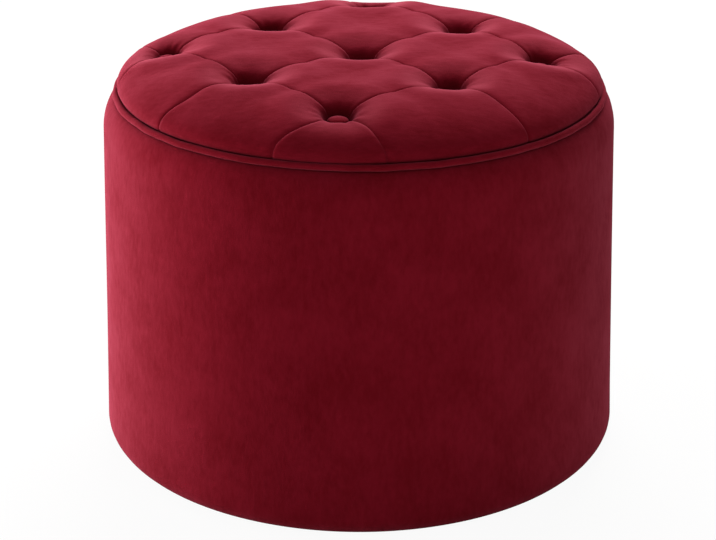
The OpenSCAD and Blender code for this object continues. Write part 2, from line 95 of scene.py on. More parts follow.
def band(x, rise, fall):
    # 0, then 1 from the end of rise to the start of fall, then 0
    return smoothStep(x, *rise) * (1 - smoothStep(x, *fall))


def mix(a, b, t):
    return a + (b - a) * t


def circle(turns):
    # one row of angles in radians, once round
    return np.linspace(0, 2 * math.pi, turns, endpoint=False)[None, :]


def fromBack(angle):
    # angle from the back of the pouf, -pi to pi
    return (angle - math.pi / 2 + math.pi) % (2 * math.pi) - math.pi


def gridQuads(rows, columns, closedRows=False, closedColumns=False, first=0):
    # quads of a grid of points numbered row by row, joined round where it is closed
    r = np.arange(rows if closedRows else rows - 1)[:, None]
    c = np.arange(columns if closedColumns else columns - 1)[None, :]
    nextRow, nextColumn = (r + 1) % rows, (c + 1) % columns
    corners = [r * columns + c, r * columns + nextColumn, nextRow * columns + nextColumn, nextRow * columns + c]
    return first + np.stack(corners, -1).reshape(-1, 4)


def makePiece(name, points, quads, triangles=None, material=None, body="drum", sharp=None):
    # a mesh of points (n, 3) in millimetres with quads (m, 4) and triangles (k, 3), that rides on a body
    triangles = np.zeros((0, 3), int) if triangles is None else triangles
    corners = np.concatenate([quads.ravel(), triangles.ravel()]).astype(np.int32)
    sizes = np.concatenate([np.full(len(quads), 4), np.full(len(triangles), 3)])
    starts = np.concatenate([[0], np.cumsum(sizes)[:-1]]).astype(np.int32)
    mesh = bpy.data.meshes.new(name)
    mesh.vertices.add(len(points))
    mesh.vertices.foreach_set("co", (points * mm).astype(np.float32).ravel())
    mesh.loops.add(len(corners))
    mesh.loops.foreach_set("vertex_index", corners)
    mesh.polygons.add(len(sizes))
    mesh.polygons.foreach_set("loop_start", starts)
    mesh.polygons.foreach_set("use_smooth", np.ones(len(sizes), bool))
    mesh.update(calc_edges=True)
    piece = bpy.data.objects.new(name, mesh)
    bpy.context.scene.collection.objects.link(piece)
    if sharp is not None:
        mesh.set_sharp_from_angle(angle=math.radians(sharp))
    if material is not None:
        mesh.materials.append(material)
    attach(piece, body)
    return piece


def arc(centre, a, b, start, end, steps):
    # points of an ellipse arc with half-axes a and b, angles in degrees
    t = np.radians(np.linspace(start, end, steps))
    return np.stack([centre[0] + a * np.cos(t), centre[1] + b * np.sin(t)], -1)


def line(start, end, steps):
    return np.linspace(start, end, steps)


def turned(radius, angle, height):
    # x, y, z of arrays of radius, angle in radians, and height
    return np.stack(np.broadcast_arrays(radius * np.cos(angle), radius * np.sin(angle), height), -1)


def ripples(angle, across, seed, count, angleWaves, acrossWaves):
    # sum of cosines over angle and a second length, with whole waves round the circle, within about -1 to 1
    rng = np.random.default_rng(seed)
    total = 0
    for i in range(count):
        k = int(rng.integers(angleWaves[0], angleWaves[1] + 1))
        q = rng.uniform(acrossWaves[0], acrossWaves[1])
        total = total + np.cos(k * angle + q * across + rng.uniform(0, 2 * math.pi))
    return total / math.sqrt(count)


# Camera: the photograph looks down at the pouf by 23 degrees

cameraValues = {"place": (0.0, -1.915, 0.9834), "pitch": 23.0, "turn": 0.044, "lens": 98.55}
cameraData = bpy.data.cameras.new("camera")
cameraData.lens = cameraValues["lens"]
cameraData.sensor_width = 36
cameraData.sensor_fit = "HORIZONTAL"
camera = bpy.data.objects.new("camera", cameraData)
camera.location = cameraValues["place"]
camera.rotation_euler = (math.radians(90 - cameraValues["pitch"]), 0, math.radians(cameraValues["turn"]))
bpy.context.scene.collection.objects.link(camera)
bpy.context.scene.camera = camera
print("camera placed")


# Materials

velvetValues = {
    "deep": "#74101b", "lit": "#841625",  # pile that leans towards and away from the eye
    "turned": "#963b4a",  # painted sheen: dusty pink put into the colour where the velvet turns away from the eye
    "paintedSheenPower": 2.0,
    "leanGain": 2.2, "leanShift": -0.1,  # how much more of the painted sheen shows where the pile leans away
    "hollowShade": "#1c0206", "hollowShadeShare": 0.85,  # painted shade in a button's hollow, and how much of it is mixed in
    "lipSheen": "#c25a6a", "lipSheenShare": 0.36,  # painted highlight: a pinker colour where the velvet bends over a hollow's lip and turns from the eye
    "patch": 60.0,  # mm, width of the patches where the pile leans another way
    "mottle": 5.0,  # mm, small marks in the pile from handling, longer the way that it is brushed
    "pile": 0.9,  # mm, tufts of the pile, drawn about four times too coarse so that they show
    "relief": 0.5, "reliefHeight": 0.0004,  # strength of the bump, and its height in metres
}


def makeVelvet(name, brushed):
    # Cut-pile polyester velvet, woven and brushed: matte and deep in front, with a sheen of dusty pink painted into
    # its colour where it turns away from the eye. Handling leaves patches and small marks in the pile. Painted shade
    # darkens the button hollows, and a painted highlight lightens their lips.
    material, tree = newMaterial(name)
    place = addNode(tree, "ShaderNodeTexCoord").outputs["Object"]
    stretch = {"x": (0.4, 1, 1), "z": (1, 1, 0.4)}[brushed]
    along = addNode(tree, "ShaderNodeMapping", {"Vector": place, "Scale": stretch})
    patches = addNode(tree, "ShaderNodeTexNoise",
                      {"Vector": place, "Scale": 1000 / velvetValues["patch"], "Detail": 2.0, "Roughness": 0.6})
    mottle = addNode(tree, "ShaderNodeTexNoise", {
        "Vector": along.outputs[0], "Scale": 1000 / velvetValues["mottle"], "Detail": 4.0, "Roughness": 0.7})
    pile = addNode(tree, "ShaderNodeTexNoise",
                   {"Vector": place, "Scale": 1000 / velvetValues["pile"], "Detail": 1.0})
    nap = addNode(tree, "ShaderNodeMath", {0: patches.outputs[0], 1: mottle.outputs[0]}, operation="ADD")
    half = addNode(tree, "ShaderNodeMath", {0: nap.outputs[0], 1: 0.5}, operation="MULTIPLY")
    colour = addNode(tree, "ShaderNodeValToRGB", {"Fac": half.outputs[0]}, stops=(
        (0.38, linear(velvetValues["deep"])), (0.62, linear(velvetValues["lit"]))))
    relief = addNode(tree, "ShaderNodeMath", {0: mottle.outputs[0], 1: 2.0, 2: pile.outputs[0]},
                     operation="MULTIPLY_ADD")
    bump = addNode(tree, "ShaderNodeBump", {
        "Height": relief.outputs[0], "Strength": velvetValues["relief"], "Distance": velvetValues["reliefHeight"]})
    rough = addNode(tree, "ShaderNodeMapRange", {0: patches.outputs[0], 1: 0.3, 2: 0.7, 3: 0.78, 4: 0.92})
    # painted sheen: the turned pink is mixed in by how far the surface faces away from the eye
    facing = addNode(tree, "ShaderNodeLayerWeight", {"Blend": 0.5}).outputs["Facing"]
    sheenFacing = addNode(tree, "ShaderNodeMath", {0: facing, 1: velvetValues["paintedSheenPower"]}, operation="POWER")
    leaning = addNode(tree, "ShaderNodeMath", {
        0: half.outputs[0], 1: velvetValues["leanGain"], 2: velvetValues["leanShift"]}, operation="MULTIPLY_ADD")
    shown = addNode(tree, "ShaderNodeMath", {0: sheenFacing.outputs[0], 1: leaning.outputs[0]}, operation="MULTIPLY")
    mixed = addNode(tree, "ShaderNodeMixRGB", {
        "Fac": shown.outputs[0], "Color1": colour.outputs[0], "Color2": linear(velvetValues["turned"])})
    # painted highlight: the bend over each hollow's lip, where it turns from the eye, is mixed towards a pinker
    # colour
    bend = addNode(tree, "ShaderNodeAttribute", {}, attribute_name="bend").outputs["Fac"]
    lipSheenShare = addNode(tree, "ShaderNodeMath", {0: bend, 1: velvetValues["lipSheenShare"]}, operation="MULTIPLY")
    seen = addNode(tree, "ShaderNodeMath", {0: lipSheenShare.outputs[0], 1: sheenFacing.outputs[0]}, operation="MULTIPLY")
    lipSheen = addNode(tree, "ShaderNodeMixRGB", {
        "Fac": seen.outputs[0], "Color1": mixed.outputs[0], "Color2": linear(velvetValues["lipSheen"])})
    # painted shade: the hollows round the buttons are darkened, where shade falls in them
    hollowShade = addNode(tree, "ShaderNodeAttribute", {}, attribute_name="hollowShade").outputs["Fac"]
    hollowShadeShare = addNode(tree, "ShaderNodeMath", {0: hollowShade, 1: velvetValues["hollowShadeShare"]}, operation="MULTIPLY")
    shaded = addNode(tree, "ShaderNodeMixRGB", {
        "Fac": hollowShadeShare.outputs[0], "Color1": lipSheen.outputs[0], "Color2": linear(velvetValues["hollowShade"])})
    shader = addNode(tree, "ShaderNodeBsdfPrincipled", {
        "Base Color": shaded.outputs[0], "Roughness": rough.outputs[0], "Normal": bump.outputs[0],
        "Specular IOR Level": 0.0,
    })
    addNode(tree, "ShaderNodeOutputMaterial", {"Surface": shader.outputs[0]})
    return material


wallVelvet = makeVelvet("crimson velvet, brushed upright", "z")
lidVelvet = makeVelvet("crimson velvet, brushed across", "x")


def makePlywood():
    # Birch plywood, rotary cut and sanded: pale figure on its faces, thin dark and light plies on its edges
    material, tree = newMaterial("birch plywood")
    place = addNode(tree, "ShaderNodeTexCoord").outputs["Object"]
    along = addNode(tree, "ShaderNodeMapping", {"Vector": place, "Scale": (1, 0.12, 1)})
    figure = addNode(tree, "ShaderNodeTexNoise", {"Vector": along.outputs[0], "Scale": 60.0, "Detail": 4.0})
    plies = addNode(tree, "ShaderNodeTexWave", {"Vector": place, "Scale": 1000 / 9.0, "Distortion": 0.6},
                    bands_direction="Z")
    face = addNode(tree, "ShaderNodeValToRGB", {"Fac": figure.outputs[0]},
                   stops=((0.3, linear("#b98f5f")), (0.7, linear("#d9b98a"))))
    edge = addNode(tree, "ShaderNodeValToRGB", {"Fac": plies.outputs[1]},
                   stops=((0.2, linear("#a57b4d")), (0.55, linear("#ffffff"))))
    blend = addNode(tree, "ShaderNodeMix", {0: 0.5, 6: face.outputs[0], 7: edge.outputs[0]},
                    data_type="RGBA", blend_type="MULTIPLY")
    bump = addNode(tree, "ShaderNodeBump", {"Height": figure.outputs[0], "Strength": 0.2, "Distance": 0.0003})
    shader = addNode(tree, "ShaderNodeBsdfPrincipled",
                     {"Base Color": blend.outputs[2], "Roughness": 0.62, "Normal": bump.outputs[0]})
    addNode(tree, "ShaderNodeOutputMaterial", {"Surface": shader.outputs[0]})
    return material


def makeSteel():
    # Zinc-plated steel, drawn wire and screws: bright grey metal with faint blotches of the plating
    material, tree = newMaterial("zinc-plated steel")
    place = addNode(tree, "ShaderNodeTexCoord").outputs["Object"]
    blotches = addNode(tree, "ShaderNodeTexNoise", {"Vector": place, "Scale": 400.0, "Detail": 2.0})
    colour = addNode(tree, "ShaderNodeValToRGB", {"Fac": blotches.outputs[0]},
                     stops=((0.3, linear("#a9abac")), (0.7, linear("#c8c9c6"))))
    rough = addNode(tree, "ShaderNodeMapRange", {0: blotches.outputs[0], 3: 0.28, 4: 0.5})
    shader = addNode(tree, "ShaderNodeBsdfPrincipled",
                     {"Base Color": colour.outputs[0], "Metallic": 1.0, "Roughness": rough.outputs[0]})
    addNode(tree, "ShaderNodeOutputMaterial", {"Surface": shader.outputs[0]})
    return material


def makeNylon():
    # Injection-moulded nylon 6: near-black, slightly mottled and fine-textured
    material, tree = newMaterial("moulded nylon")
    place = addNode(tree, "ShaderNodeTexCoord").outputs["Object"]
    grain = addNode(tree, "ShaderNodeTexNoise", {"Vector": place, "Scale": 1500.0, "Detail": 2.0})
    colour = addNode(tree, "ShaderNodeValToRGB", {"Fac": grain.outputs[0]},
                     stops=((0.3, linear("#242426")), (0.7, linear("#313134"))))
    bump = addNode(tree, "ShaderNodeBump", {"Height": grain.outputs[0], "Strength": 0.3, "Distance": 0.0002})
    shader = addNode(tree, "ShaderNodeBsdfPrincipled",
                     {"Base Color": colour.outputs[0], "Roughness": 0.48, "IOR": 1.53, "Normal": bump.outputs[0]})
    addNode(tree, "ShaderNodeOutputMaterial", {"Surface": shader.outputs[0]})
    return material


def makeCloth(name, dark, light, fibre):
    # Bonded cloth, short fibres matted at random: dull and faintly cloudy. The fibres are drawn at fibre mm, with
    # clouds of them ten times as coarse, since single fibres are too fine to show in the render
    material, tree = newMaterial(name)
    place = addNode(tree, "ShaderNodeTexCoord").outputs["Object"]
    fibres = addNode(tree, "ShaderNodeTexNoise", {"Vector": place, "Scale": 1000 / fibre, "Detail": 2.0})
    clouds = addNode(tree, "ShaderNodeTexNoise", {"Vector": place, "Scale": 100 / fibre, "Detail": 3.0})
    matted = addNode(tree, "ShaderNodeMath", {0: fibres.outputs[0], 1: clouds.outputs[0]}, operation="MULTIPLY")
    colour = addNode(tree, "ShaderNodeValToRGB", {"Fac": matted.outputs[0]},
                     stops=((0.1, linear(dark)), (0.42, linear(light))))
    bump = addNode(tree, "ShaderNodeBump", {"Height": matted.outputs[0], "Strength": 0.4, "Distance": 0.0003})
    shader = addNode(tree, "ShaderNodeBsdfPrincipled", {
        "Base Color": colour.outputs[0], "Roughness": 0.9, "Specular IOR Level": 0.15, "Sheen Weight": 0.08,
        "Sheen Roughness": 0.5, "Normal": bump.outputs[0]})
    addNode(tree, "ShaderNodeOutputMaterial", {"Surface": shader.outputs[0]})
    return material


def makeFoam():
    # Open-cell polyurethane foam, cut from a block: cream, full of small pores
    material, tree = newMaterial("polyurethane foam")
    place = addNode(tree, "ShaderNodeTexCoord").outputs["Object"]
    pores = addNode(tree, "ShaderNodeTexVoronoi", {"Vector": place, "Scale": 1000 / 1.5})
    colour = addNode(tree, "ShaderNodeValToRGB", {"Fac": pores.outputs[0]},
                     stops=((0.0, linear("#c9b98e")), (0.5, linear("#efe6c8"))))
    bump = addNode(tree, "ShaderNodeBump", {"Height": pores.outputs[0], "Strength": 0.5, "Distance": 0.0004})
    shader = addNode(tree, "ShaderNodeBsdfPrincipled",
                     {"Base Color": colour.outputs[0], "Roughness": 0.95, "Normal": bump.outputs[0]})
    addNode(tree, "ShaderNodeOutputMaterial", {"Surface": shader.outputs[0]})
    return material


plywood, steel, nylon, foam = makePlywood(), makeSteel(), makeNylon(), makeFoam()
liningCloth = makeCloth("dark red lining cloth", "#2c0d14", "#451923", 0.9)
dustCloth = makeCloth("black bonded cloth", "#121214", "#26262a", 1.1)
twineCotton = makeCloth("waxed cotton twine", "#b9ad90", "#e2dac4", 0.7)
slotMaterials = {"velvet": lidVelvet, "plywood": plywood, "foam": foam, "cloth": dustCloth,
                 "lining": liningCloth, "steel": steel, "nylon": nylon, "twine": twineCotton}
for part in frame["record"]["subparts"]:
    nodes[part["node"]].data.materials.clear()
    nodes[part["node"]].data.materials.append(slotMaterials[part["material_slot"]])
print("materials made:", len(slotMaterials) + 1)


# The drum's velvet cover over its foam, turned under the foot and over the rim into the mouth

drumValues = {
    "shoulderRadius": 260.0, "footSpread": 12.0, "footHeight": 3.8, "footRound": 16.0,
    "shoulderDrop": 34.0, "shoulderWidth": 14.0, "rimHeight": 372.0,
    "mouthRadius": 222.0, "mouthRound": 4.0, "returnHeight": 354.6,
    "footHem": 34.0, "ringHemRadius": 232.8, "velvet": 1.2,
    "dents": 0.5,  # mm, soft unevenness of the foam
    "dentBand": ((16, 60), (355, 371)),  # mm up the wall, where the dents rise and where they fade
    "gathers": 0.06, "calm": 0.45,  # mm, small puckers below the shoulder, and the share of them between groups
    "gatherBand": ((285, 350), (354, 368)),
    "seam": 1.3, "seamWidth": 1.6,  # mm, the upright seam at the back
    "seamBand": ((8, 22), (362, 371)),
    "ridge": 0.35, "ridgeAway": 5.0, "ridgeWidth": 3.0,  # swelling beside the seam, as a share of its depth
    "mouthMargin": 12.0,  # mm round the mouth that stay even
    "turns": 600,
    "outerSteps": (5, 8, 64, 18, 5, 7, 4), "innerSteps": (3, 4, 8, 8, 3, 4, 3),  # points along each stretch
}


def drumPath(v, o, steps):
    # the cover's section moved in by o: hem under the foot, which stops 2 mm short of the quarter round, straight
    # wall, quarter of an ellipse for the shoulder, level rim, quarter round into the mouth, and hem under the ring
    shoulderZ = v["rimHeight"] - v["shoulderDrop"]
    footZ = v["footHeight"] + v["footRound"]
    footR = v["shoulderRadius"] + v["footSpread"] * (shoulderZ - footZ) / (shoulderZ - v["footHeight"])
    footRoundR = footR - v["footRound"]
    shoulderR = v["shoulderRadius"] - v["shoulderWidth"]
    mouthR, mouthZ = v["mouthRadius"] + v["mouthRound"], v["rimHeight"] - v["mouthRound"]
    floorZ, rimZ, returnZ = v["footHeight"] + o, v["rimHeight"] - o, v["returnHeight"] + o
    return np.concatenate([
        line((footR - v["footHem"], floorZ), (footRoundR - 2, floorZ), steps[0]),
        arc((footRoundR, footZ), v["footRound"] - o, v["footRound"] - o, -90, 0, steps[1]),
        line((footR - o, footZ), (v["shoulderRadius"] - o, shoulderZ), steps[2] + 2)[1:-1],
        arc((shoulderR, shoulderZ), v["shoulderWidth"] - o, v["shoulderDrop"] - o, 0, 90, steps[3]),
        line((shoulderR, rimZ), (mouthR, rimZ), steps[4] + 2)[1:-1],
        arc((mouthR, mouthZ), v["mouthRound"] - o, v["mouthRound"] - o, 90, 180, steps[5]),
        line((v["mouthRadius"] + o, mouthZ), (v["mouthRadius"] + o, returnZ), steps[6] + 1)[1:],
        line((v["mouthRadius"] + o, returnZ), (v["ringHemRadius"], returnZ), steps[6] + 1)[1:],
    ])


def makeDrumCover(v):
    # the section turned round the axis, pushed out by broad dents and by puckers that hang from the shoulder, and
    # in by a groove for the back seam
    outer = drumPath(v, 0, v["outerSteps"])
    inner = drumPath(v, v["velvet"], v["innerSteps"])[::-1]
    angle = circle(v["turns"])
    radius, height = outer[:, :1] + 0 * angle, outer[:, 1:] + 0 * angle
    dents = ripples(angle, height / 1000, seed=11, count=14, angleWaves=(2, 9), acrossWaves=(-14, 14))
    gathers = ripples(angle, height / 1000, seed=12, count=18, angleWaves=(60, 150), acrossWaves=(-12, 12))
    groups = ripples(angle, 0, seed=13, count=6, angleWaves=(2, 7), acrossWaves=(0, 0))
    push = v["dents"] * band(height, *v["dentBand"]) * dents
    push = push + v["gathers"] * band(height, *v["gatherBand"]) * gathers * mix(v["calm"], 1, groups ** 2)
    fromSeam = np.abs(fromBack(angle)) * v["shoulderRadius"]
    seam = np.exp(-(fromSeam / v["seamWidth"]) ** 2)
    seam = seam - v["ridge"] * np.exp(-((fromSeam - v["ridgeAway"]) / v["ridgeWidth"]) ** 2)
    push = push - v["seam"] * seam * band(height, *v["seamBand"])
    outside = turned(radius + push * (radius > v["mouthRadius"] + v["mouthMargin"]), angle, height)
    inside = turned(inner[:, :1] + 0 * angle, angle, inner[:, 1:] + 0 * angle)
    points = np.concatenate([outside, inside])
    quads = gridQuads(*points.shape[:2], True, True)
    return makePiece("drumVelvet", points.reshape(-1, 3), quads, material=wallVelvet)


drumVelvet = makeDrumCover(drumValues)
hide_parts("body_cover", "wall_padding")
print("drum cover made")


# The lid's buttoned cushion
# Places on it are p, q in button pitches: a button at every -1, 0, 1 of both, and folds along those lines to the
# edge.

cushionValues = {
    "pitch": 135.06, "turn": -4.5,
    "rimHeight": 372.0, "widestRadius": 245.0, "widestHeight": 9.0, "crownHeight": 43.4, "levelRadius": 141.0,
    "buttonDepth": 20.0,  # crown to a button's seat
    "bowlDepth": 6.5, "bowlRadius": 42.0,  # broad bowl round a button
    "holeRadius": 15.5, "holePower": 5.0,  # steep hole in its middle, where the foam is cut away
    "bowlSquare": 1.8,  # 2 gives round bowls, 1 gives bowls that are square to the folds
    "lipRise": 3.4, "lipRadius": 47.0, "lipWidth": 23.0,  # the foam bulges up a little round a bowl
    "lipFade": 0.15,  # power of the fade with which the lips weaken towards the edge
    "bendRadius": 34.0, "bendWidth": 14.0,  # where the velvet bends over a bowl's edge
    "pucker": 0.5, "puckers": 11, "puckerRadius": 20.0, "puckerWidth": 7.0,  # small pleats that run into a hollow
    "slack": 2.6,  # the pillows start low by this, and the cloth fills them
    "foldFall": -0.9, "fallPower": 0.8,  # added to it at a fold
    "creaseDepth": 2.0, "creaseWidth": 1.9, "lapWidth": 1.0,  # folded crease, steeper on its lapped side
    "creaseGrowth": 0.5, "creaseReach": 30.0,  # deeper by this share beside a button
    "edgeCrease": 0.75, "edgeBand": (180, 240),  # and shallower towards the edge
    "edgeShare": 0.22,  # share of the depth that is left at the widest line
    "asideBand": (206, 243),  # mm from the middle, where the folds are pulled aside
    "seatLevel": 9.0, "seatFree": 17.0,  # mm from a button, where the velvet is level and where it is free
    "seamRadius": 242.7, "seamHeight": 376.7, "seamEven": 0.6,
    "boardRadius": 234.7, "boardHeight": 382.4, "boardInner": 120.0,
    "cellSteps": 36, "wedgeSteps": 22, "edgeRings": 54,
    "foldCrowd": 0.9, "cornerCrowd": 0.8, "ringCrowd": 0.75, "ringPower": 1.8,  # the grid is finer beside the folds
}
buttonPlaces = np.array([(p, q) for q in (-1, 0, 1) for p in (-1, 0, 1)])
# How far hand work has put each button off the grid, to the right and to the back, as shares of the pitch
wander = np.array([
    [[-0.039, 0.069], [-0.004, 0.001], [-0.047, 0.030]],
    [[-0.039, 0.005], [0.015, -0.057], [0.030, 0.009]],
    [[-0.071, 0.038], [-0.054, -0.047], [-0.038, 0.033]],
])
# Where the folds reach the edge: degrees round the lid, and how far each has been pulled aside there
foldEnds = np.array([[6, 1.5], [40.5, -2], [75, 1], [96, -1.5], [130.5, 2], [165, -1], [186, 1], [220.5, -1.7],
                     [255, -3], [276, -1], [310.5, -0.2], [345, 1.5]])


def wanderAt(v, p, q):
    # bilinear between the buttons, fading to nothing at the edge
    a, b = np.clip(p, -1, 1) + 1, np.clip(q, -1, 1) + 1
    i, j = np.minimum(a.astype(int), 1), np.minimum(b.astype(int), 1)
    s, t = (a - i)[..., None], (b - j)[..., None]
    blended = mix(mix(wander[j, i], wander[j, i + 1], s), mix(wander[j + 1, i], wander[j + 1, i + 1], s), t)
    edge = v["widestRadius"] / v["pitch"]
    return blended * np.clip((edge - np.hypot(p, q)) / (edge - math.sqrt(2)), 0, 1)[..., None]


def planAt(v, p, q):
    # x and y of place p, q: the grid turned by 45 degrees and a little, its folds pulled aside near the edge
    t = math.radians(45 + v["turn"])
    shift = wanderAt(v, p, q)
    x = (p * math.cos(t) - q * math.sin(t) + shift[..., 0]) * v["pitch"]
    y = (p * math.sin(t) + q * math.cos(t) + shift[..., 1]) * v["pitch"]
    aside = np.interp(np.degrees(np.arctan2(y, x)) % 360, foldEnds[:, 0], foldEnds[:, 1], period=360)
    aside = np.radians(aside) * smoothStep(np.hypot(x, y), *v["asideBand"])
    return x * np.cos(aside) - y * np.sin(aside), x * np.sin(aside) + y * np.cos(aside)


def crownAt(v, x, y, depth):
    # point of the crown over x, y, sunk by depth square to it: level, then a quarter of an ellipse to the widest
    # line
    r = np.hypot(x, y)
    run, rise = v["widestRadius"] - v["levelRadius"], v["crownHeight"] - v["widestHeight"]
    s = np.clip((r - v["levelRadius"]) / run, 0, 1)
    c = np.sqrt(1 - s * s)
    out, up = s / run, c / rise
    size = np.hypot(out, up)
    share = (r - out / size * depth) / np.maximum(r, 1e-6)
    height = v["rimHeight"] + v["widestHeight"] + rise * c - up / size * depth
    return np.stack([x * share, y * share, height], -1)


def toFold(a):
    # distance to the nearest fold, in pitches, signed from it
    return a - np.clip(np.round(a), -1, 1)


def fadeAt(v, r):
    # 1 on the level part, down to edgeShare by the square of the way to the widest line
    s = np.clip((r - v["levelRadius"]) / (v["widestRadius"] - v["levelRadius"]), 0, 1)
    return mix(1, v["edgeShare"], s * s)


def seatAt(v, p, q):
    # the crown at a button, sunk by the buttons' depth
    x, y = planAt(v, p, q)
    return crownAt(v, x, y, v["buttonDepth"] * fadeAt(v, np.hypot(x, y)))


def hollowsAt(v, p, q):
    # round each button a broad bowl exp(-(r / R) ^ 2), a steep hole 1 / (1 + (r / R) ^ n) and a low lip,
    # and the ring where the velvet bends over the bowl's edge
    bowl, hole, lip, bend = 0, 0, 0, 0
    for bp, bq in buttonPlaces:
        along, across = np.abs(p - bp) * v["pitch"], np.abs(q - bq) * v["pitch"]
        away = (along ** v["bowlSquare"] + across ** v["bowlSquare"]) ** (1 / v["bowlSquare"])
        bowl = np.maximum(bowl, np.exp(-(away / v["bowlRadius"]) ** 2))
        hole = np.maximum(hole, 1 / (1 + (away / v["holeRadius"]) ** v["holePower"]))
        lip = np.maximum(lip, np.exp(-((away - v["lipRadius"]) / v["lipWidth"]) ** 2))
        bend = np.maximum(bend, np.exp(-((away - v["bendRadius"]) / v["bendWidth"]) ** 2))
    return bowl, hole, lip, bend


def cushionSurface(v, p, q):
    # the crown, sunk round the buttons, with a broad fall and a sharp crease at each fold
    x, y = planAt(v, p, q)
    r = np.hypot(x, y)
    fade = fadeAt(v, r)
    fp, fq = toFold(p) * v["pitch"], toFold(q) * v["pitch"]
    seatP, seatQ = np.clip(np.round(p), -1, 1), np.clip(np.round(q), -1, 1)
    fromButton = np.hypot(fp, fq)
    bowl, hole, lip, _ = hollowsAt(v, p, q)
    half = v["pitch"] / 2
    fall, crease = 0, 0
    for f, along in ((fp, fq), (fq, fp)):
        fall = fall + (1 - np.sin(np.clip(np.abs(f) / half, 0, 1) * math.pi / 2) ** v["fallPower"])
        sharp = np.where(f > 0, np.exp(-f / v["creaseWidth"]), np.exp(f / v["lapWidth"]))
        nearButton = np.exp(-(np.abs(along) / v["creaseReach"]) ** 2)
        crease = np.maximum(crease, sharp * v["creaseDepth"] * (1 + v["creaseGrowth"] * nearButton))
    depth = v["bowlDepth"] * bowl + (v["buttonDepth"] - v["bowlDepth"]) * hole
    depth = (depth + (v["slack"] + v["foldFall"] * fall) * (1 - bowl)) * fade
    depth = depth - v["lipRise"] * lip * fade ** v["lipFade"]
    depth = depth + crease * (1 - hole) * mix(1, v["edgeCrease"], smoothStep(r, *v["edgeBand"]))
    # pleats round each button, set unevenly and differently at every one
    around = np.arctan2(fq, fp)
    pleats = np.sin(v["puckers"] * around + 2 * np.sin(3 * around + 5 * seatP + 3 * seatQ))
    depth = depth + v["pucker"] * pleats * np.exp(-((fromButton - v["puckerRadius"]) / v["puckerWidth"]) ** 2)
    points = crownAt(v, x, y, depth)
    # under a button the velvet is level
    level = 1 - smoothStep(fromButton, v["seatLevel"], v["seatFree"])
    points[..., 2] = mix(points[..., 2], seatAt(v, seatP, seatQ)[..., 2], level)
    return points


# Cloth simulation of the cushion's top. A net of it, a little too large for its place, is held at the buttons,
# the folds and the seam, and blown up from inside. How far each knot of the net moved is added to the fine
# surface.

clothValues = {
    "rings": 60, "spokes": 200,  # knots of the net, 4 to 8 mm apart
    "innerShare": 0.03,  # the first ring lies inside the middle button's seat
    "frames": 18, "steps": 6,
    "mass": 0.002,  # kg for each knot
    "damping": 2, "stretchStiffness": 20, "shearStiffness": 3, "bendStiffness": 0.3,
    "pressure": 3.2,  # push of the foam from inside
    "spare": 0.006,  # share by which the velvet is larger than its place
    "seatHeld": 15.0, "seatFree": 23.0,  # mm from a button, held and free
    "foldHold": 0.96, "foldReach": 4.0,  # how firmly the folds are held, and how far to each side in mm
    "rimHeld": 12.0,  # mm inside the widest line
    "smoothings": 2, "cap": 3.6,  # mm that a knot may move, at most
    "foldFree": 9.0,  # mm from a fold where the fine surface follows the net in full
}


def simulateTop(v, w):
    # runs the net from its modelled place, and gives how far each knot has moved, evened out with its neighbours
    # by quarter, half, quarter
    edge = v["widestRadius"] / v["pitch"]
    reach = mix(w["innerShare"], edge, np.linspace(0, 1, w["rings"]))[:, None]
    angle = circle(w["spokes"])
    p, q = reach * np.cos(angle), reach * np.sin(angle)
    start = cushionSurface(v, p, q)
    fp, fq = toFold(p) * v["pitch"], toFold(q) * v["pitch"]
    seat = 1 - smoothStep(np.hypot(fp, fq), w["seatHeld"], w["seatFree"])
    fold = w["foldHold"] * np.exp(-(np.minimum(np.abs(fp), np.abs(fq)) / w["foldReach"]) ** 2)
    rim = smoothStep(reach + 0 * angle, edge - w["rimHeld"] / v["pitch"], edge)
    hold = np.round(np.maximum(np.maximum(seat, fold), rim).ravel(), 2)
    mesh = bpy.data.meshes.new("cushion net")
    mesh.from_pydata((start.reshape(-1, 3) / 1000).tolist(), [],
                     gridQuads(w["rings"], w["spokes"], closedColumns=True)[:, ::-1].tolist())
    net = bpy.data.objects.new("cushion net", mesh)
    scene = bpy.context.scene
    scene.collection.objects.link(net)
    group = net.vertex_groups.new(name="held")
    for level in np.unique(hold):
        group.add(np.flatnonzero(hold == level).tolist(), float(level), "REPLACE")
    cloth = net.modifiers.new("cloth", "CLOTH")
    velvet = cloth.settings
    velvet.quality, velvet.mass, velvet.air_damping = w["steps"], w["mass"], w["damping"]
    velvet.tension_stiffness = velvet.compression_stiffness = w["stretchStiffness"]
    velvet.shear_stiffness, velvet.bending_stiffness = w["shearStiffness"], w["bendStiffness"]
    velvet.vertex_group_mass, velvet.pin_stiffness = "held", 1
    velvet.shrink_min = -w["spare"]
    velvet.use_pressure, velvet.uniform_pressure_force = True, w["pressure"]
    velvet.effector_weights.gravity = 0
    cloth.collision_settings.use_collision = False
    cloth.point_cache.frame_start, cloth.point_cache.frame_end = 1, w["frames"]
    for number in range(1, w["frames"] + 1):
        scene.frame_set(number)
    settled = net.evaluated_get(bpy.context.evaluated_depsgraph_get()).data
    points = np.empty(len(settled.vertices) * 3, np.float32)
    settled.vertices.foreach_get("co", points)
    scene.frame_set(1)
    bpy.data.objects.remove(net)
    bpy.data.meshes.remove(mesh)
    moved = points.reshape(w["rings"], w["spokes"], 3).astype(float) * 1000 - start
    for _ in range(w["smoothings"]):
        moved = (np.roll(moved, 1, 1) + 2 * moved + np.roll(moved, -1, 1)) / 4
        moved[1:-1] = (moved[:-2] + 2 * moved[1:-1] + moved[2:]) / 4
    length = np.linalg.norm(moved, axis=-1, keepdims=True)
    print("cushion simulated: moved %.1f mm at most, %.1f mm on average" % (length.max(), length.mean()))
    return moved * w["cap"] * np.tanh(length / w["cap"]) / np.maximum(length, 1e-9)


